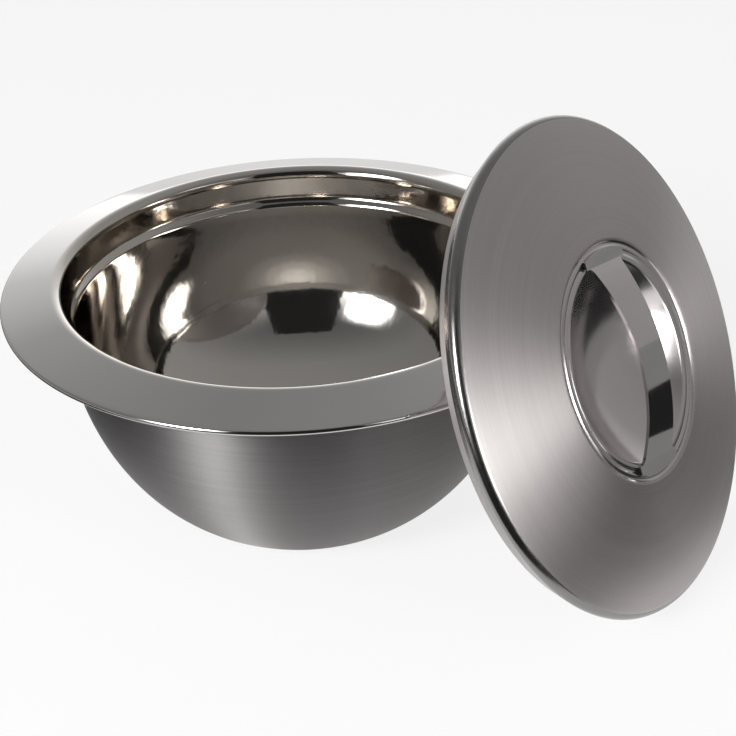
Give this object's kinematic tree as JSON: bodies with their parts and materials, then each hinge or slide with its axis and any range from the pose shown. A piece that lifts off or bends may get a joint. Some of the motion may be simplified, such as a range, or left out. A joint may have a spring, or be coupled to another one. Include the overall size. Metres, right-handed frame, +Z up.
{
  "type": "insulated bowl with lid",
  "caption": "Double-walled steel serving bowl with a wide sloping brim, and a crowned insulated lid with a sunk strap handle that leans on the brim.",
  "frame": {"origin": "middle of the bowl's flat base, on the surface that it stands on", "axes": "+Z up along the bowl's axis, -Y towards the front, with the lid leaning on the right front of the brim"},
  "size_m": [0.376, 0.3389, 0.225],
  "materials": {
    "polished_steel": "polished",
    "satin_steel": "satin",
    "brushed_steel": "satin",
    "foam": "matte"
  },
  "bodies": {
    "bowl": {"inner_liner": "polished_steel", "outer_shell": "satin_steel", "bowl_insulation": "foam", "base_plate": "satin_steel"},
    "lid": {"lid_cover": "brushed_steel", "lid_bottom_pan": "satin_steel", "lid_insulation": "foam", "handle_cup": "polished_steel", "strap_handle": "polished_steel"}
  },
  "joints": [
    {"name": "lid_lift", "type": "slide", "parent": "bowl", "child": "lid", "axis": [0, 0, 1], "range_m": [0, 0.16]}
  ]
}
